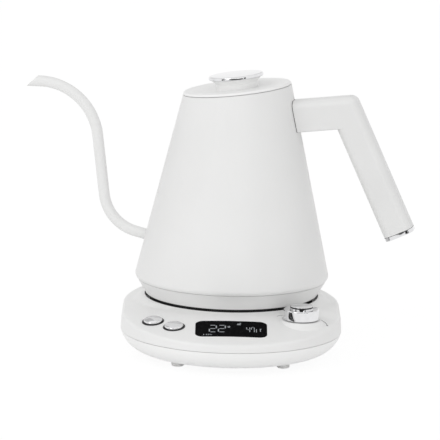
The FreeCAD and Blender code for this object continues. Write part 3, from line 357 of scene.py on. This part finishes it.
def makeAir(a):
    # full white to the eye and in reflections, a softer white as light
    world = bpy.data.worlds.new("studioAir")
    bpy.context.scene.world = world
    world.use_nodes = True
    tree = world.node_tree
    tree.nodes.clear()
    path = tree.nodes.new("ShaderNodeLightPath")
    seen = larger(tree, path.outputs["Is Camera Ray"], path.outputs["Is Glossy Ray"])
    seen = larger(tree, seen, path.outputs["Is Transmission Ray"])
    sky = addNode(tree, "ShaderNodeBackground", Color=white)
    strength = between(tree, seen, a["ambient"], a["seen"], fromLow=0.0, fromHigh=1.0)
    tree.links.new(strength, sky.inputs["Strength"])
    out = tree.nodes.new("ShaderNodeOutputWorld")
    tree.links.new(sky.outputs["Background"], out.inputs["Surface"])


lamps = {"softLamp": {"place": (-1.7, -1.5, 1.7), "aim": (0, 0, 0.1), "size": 1.3, "power": 11.0},
         "lowLamp": {"place": (0.3, -1.9, 0.05), "aim": (0, 0, 0.1), "size": 1.0, "power": 7.0}}


def makeLamp(name, look):
    data = bpy.data.lights.new(name, "AREA")
    data.size = look["size"]
    data.energy = look["power"]
    lamp = bpy.data.objects.new(name, data)
    bpy.context.scene.collection.objects.link(lamp)
    lamp.location = look["place"]
    lamp.rotation_mode = "QUATERNION"
    lamp.rotation_quaternion = (Vector(look["aim"]) - Vector(look["place"])).to_track_quat("-Z", "Y")


makeFloor(floorLook)
makeCards(cardLook)
makeAir(air)
for name, look in lamps.items():
    makeLamp(name, look)
print("studio made")


# panel: the base's top as the part has it, from the kettle's axis, in millimetres
panel = {"rim": 37.3, "fall": 10.6, "blend": 12.0, "seat": 67.8, "crown": 650.0, "glassSink": 0.1}


def panelHeight(x, y):
    # level round the seat, a parabola over the blend, then an even fall to the front; a long arc across
    past = -y - panel["seat"]
    slope = math.tan(math.radians(panel["fall"]))
    blend = panel["blend"]
    curved = slope * (past + blend) ** 2 / (4 * blend)
    drop = np.where(past < -blend, 0.0, np.where(past < blend, curved, slope * past))
    return panel["rim"] - drop - x * x / (2 * panel["crown"])


def glassHeight(x, y):
    # the window lies a little below the panel and follows it
    return panelHeight(x, y) - panel["glassSink"]


def strokes(name, paths, look, heightAt):
    # a flat rectangle carried along each path: two upper and two lower corners at every point, ends capped
    levels = np.array([look["lift"], look["lift"], -look["sink"], -look["sink"]])
    points, quads, start = [], [], 0
    for path in paths:
        along = np.gradient(path, axis=0)
        along /= np.linalg.norm(along, axis=1, keepdims=True)
        aside = np.stack([-along[:, 1], along[:, 0]], -1) * look["width"] / 2
        corners = np.stack([path - aside, path + aside, path + aside, path - aside], 1)
        height = heightAt(corners[..., 0], corners[..., 1]) + levels
        points.append(np.concatenate([corners, height[..., None]], -1).reshape(-1, 3))
        index = start + np.arange(len(path) * 4).reshape(-1, 4)
        turned = np.roll(index, -1, 1)
        quads.append(np.stack([index[:-1], index[1:], turned[1:], turned[:-1]], -1).reshape(-1, 4))
        quads.append(np.stack([index[0], index[-1][::-1]]))
        start += index.size
    points = np.concatenate(points) / perMetre + np.array([kettleX, kettleY, 0])
    return newPiece(name, points, np.concatenate(quads))


def line(start, end, count=6):
    # even steps from one end to the other
    return np.linspace(start, end, count)


def ring(x, y, radiusX, radiusY, count=13):
    # an ellipse: the cosine and the sine of one full turn, each times its radius
    turn = np.linspace(0, 2 * math.pi, count)
    return np.stack([x + radiusX * np.cos(turn), y + radiusY * np.sin(turn)], -1)


# readout: seven-bar figures, a degree ring, a small sign and a row of level bars on the glass
readout = {"centreY": -98.4, "lift": 0.02, "sink": 0.05, "glow": (0.90, 0.95, 1.0), "fade": 0.8,
           "power": 0.42, "cloudScale": 700, "dark": (0.01, 0.01, 0.01), "rough": 0.3, "gloss": 0.02}
# a figure is its digit, left, low, width, height and gap; a ring its middle and radii; a bar its two ends
readoutPieces = {
    "readout_large": {"width": 0.85, "rings": [], "bars": [],
                      "figures": [("2", -16.4, -5.8, 5.2, 12.2, 0.7), ("2", -9.6, -5.8, 5.2, 12.2, 0.7)]},
    "readout_small": {"width": 0.55, "rings": [(-1.7, 3.6, 0.7, 1.4)],
                      "figures": [("4", 11.7, -5.2, 2.3, 9.2, 0.5), ("7", 15.2, -5.2, 2.2, 9.2, 0.5)],
                      "bars": [((19.0, -5.0), (19.0, 0.6)), ((22.0, -3.4), (22.0, 1.2)),
                               ((21.5, 1.4), (22.9, 1.4)), ((-20.6, -11.6), (-20.6, -9.7)),
                               ((-18.6, -11.6), (-18.6, -9.7)), ((-17.2, -11.6), (-17.2, -9.7)),
                               ((-15.8, -11.6), (-15.8, -9.7)), ((-15.0, -10.6), (-14.3, -10.6))]},
    "readout_sign": {"width": 0.9, "rings": [], "figures": [],
                     "bars": [((4.3, 8.0), (7.2, 8.0)), ((4.6, 9.4), (6.9, 9.4)),
                              ((6.4, 10.8), (7.4, 10.8))]},
}
barsOf = {"2": "abged", "4": "fgbc", "7": "abcf"}


def figure(digit, left, low, wide, tall, gap):
    # bars a to g round two stacked squares, each cut short by the gap so that the corners stay open
    right, top, middle = left + wide, low + tall, low + tall / 2
    ends = {"a": ((left + gap, top), (right - gap, top)), "g": ((left + gap, middle), (right - gap, middle)),
            "d": ((left + gap, low), (right - gap, low)), "f": ((left, middle + gap), (left, top - gap)),
            "b": ((right, middle + gap), (right, top - gap)), "e": ((left, low + gap), (left, middle - gap)),
            "c": ((right, low + gap), (right, middle - gap))}
    return [line(*ends[bar]) for bar in barsOf[digit]]


def makeReadout(r):
    material, tree, shader = newMaterial("readoutGlow")
    cloud = between(tree, noise(tree, objectPoints(tree), r["cloudScale"]), 0.0, 1.0)
    glow = tint(tree, cloud, r["glow"], faded(r["glow"], r["fade"]))
    tree.links.new(glow, shader.inputs["Emission Color"])
    shader.inputs["Base Color"].default_value = (*r["dark"], 1)
    shader.inputs["Emission Strength"].default_value = r["power"]
    shader.inputs["Roughness"].default_value = r["rough"]
    shader.inputs["Specular IOR Level"].default_value = r["gloss"]
    for name, look in readoutPieces.items():
        paths = [bar for sizes in look["figures"] for bar in figure(*sizes)]
        paths += [line(*ends) for ends in look["bars"]]
        paths += [ring(*sizes) for sizes in look["rings"]]
        paths = [path + (0, r["centreY"]) for path in paths]
        piece = strokes(name, paths, {**r, "width": look["width"]}, glassHeight)
        piece.data.materials.append(material)
        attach(piece, "base")


makeReadout(readout)
print("readout made")


# marks: two short spirals beside the knob, each from an angle and radius to another, and a dot on the right
marks = {"width": 0.5, "lift": 0.03, "sink": 0.08, "left": ((161.0, 19.4), (146.0, 16.9)),
         "right": ((24.0, 17.0), (-9.0, 20.0)), "steps": 17, "dot": 0.45, "ink": (0.10, 0.10, 0.10),
         "fade": 1.6, "cloudScale": 900, "patchScale": 500, "rough": (0.45, 0.6)}


def makeMarks(m):
    material, tree, shader = newMaterial("markInk")
    points = objectPoints(tree)
    cloud = noise(tree, points, m["cloudScale"])
    tree.links.new(tint(tree, cloud, m["ink"], faded(m["ink"], m["fade"])), shader.inputs["Base Color"])
    patches = noise(tree, points, m["patchScale"])
    tree.links.new(between(tree, patches, *m["rough"]), shader.inputs["Roughness"])
    middle = np.array([knobX - kettleX, knobY - kettleY]) * perMetre

    def spiral(ends):
        # the angle and the radius both change evenly from one end to the other
        angle, radius = np.linspace(*ends, m["steps"]).T
        around = np.stack([np.cos(np.radians(angle)), np.sin(np.radians(angle))], -1)
        return middle + radius[:, None] * around

    right = spiral(m["right"])
    paths = [spiral(m["left"]), right, ring(*right[-1], m["dot"], m["dot"])]
    piece = strokes("knob_marks", paths, m, panelHeight)
    piece.data.materials.append(material)
    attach(piece, "base")


makeMarks(marks)
print("marks made")


# painted reflection: a black band round the knob's raised cap, standing in for the dark reflection along the
# chrome's edge
paintedReflectionBand = {"radius": 8.64, "low": 44.1, "high": 45.2, "proud": 0.06, "steps": 64}


def makePaintedReflectionBand(t):
    # a rectangle a little proud of the cap, turned about the knob's axis
    turn = np.linspace(0, 2 * math.pi, t["steps"], endpoint=False)
    inner, outer = t["radius"] - 2 * t["proud"], t["radius"] + t["proud"]
    low, high = t["low"], t["high"]
    section = np.array([(inner, high), (outer, high), (outer, low), (inner, low)]) / perMetre
    around = np.stack([np.cos(turn), np.sin(turn)], -1)
    points = np.zeros((len(turn), len(section), 3))
    points[..., :2] = around[:, None] * section[None, :, :1] + (knobX, knobY)
    points[..., 2] = section[:, 1]
    # the black band paints the dark reflection along the chrome cap's edge
    piece = gridMesh("knob_painted_reflection_band", points, closed=True)
    piece.data.materials.append(finishes["black_plastic"])
    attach(piece, "knob")


makePaintedReflectionBand(paintedReflectionBand)
print("trim made")


# seam: a thin dark line round the grip where the polished end cap meets it
seam = {"lean": 25.0, "cap": 3.0, "width": 23.6, "thick": 20.0, "innerRound": 6.5, "outerRound": 6.2,
        "line": 0.3, "proud": 0.03, "steps": 64}


def makeSeam(s):
    # a rounded rectangle across the grip, found from the cap's far end
    # and carried along the grip by the line's width
    up = np.array([0, 0, 1])
    toward = -np.array(joints["lid_lift"]["axis"])  # the lid leans away from the handle
    toward[2] = 0
    toward /= np.linalg.norm(toward)
    lean = math.radians(s["lean"])
    down = math.sin(lean) * toward - math.cos(lean) * up
    out = math.cos(lean) * toward + math.sin(lean) * up
    aside = np.cross(down, out)
    vertices = nodes["handle_end_cap"].data.vertices
    places = np.empty(len(vertices) * 3)
    vertices.foreach_get("co", places)
    places = places.reshape(-1, 3)
    middle = sum((np.min(places @ way) + np.max(places @ way)) / 2 * way for way in (out, aside))
    joint = np.max(places @ down) - s["cap"] / perMetre
    turn = 2 * math.pi * (np.arange(s["steps"]) + 0.5) / s["steps"]
    bend = np.where(np.cos(turn) > 0, s["outerRound"], s["innerRound"])

    def ringAt(proud):
        # a quarter circle about each of four inset corners, with the straight sides between them
        x = np.sign(np.cos(turn)) * (s["width"] / 2 - bend) + (bend + proud) * np.cos(turn)
        y = np.sign(np.sin(turn)) * (s["thick"] / 2 - bend) + (bend + proud) * np.sin(turn)
        return middle + x[:, None] / perMetre * out + y[:, None] / perMetre * aside

    inner, outer = ringAt(-2 * s["proud"]), ringAt(s["proud"])
    first, last = joint * down, (joint - s["line"] / perMetre) * down
    points = np.stack([inner + first, outer + first, outer + last, inner + last], 1)
    piece = gridMesh("cap_seam", points, closed=True)
    piece.data.materials.append(finishes["rubber_black"])
    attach(piece, "kettle")


makeSeam(seam)
print("seam made")
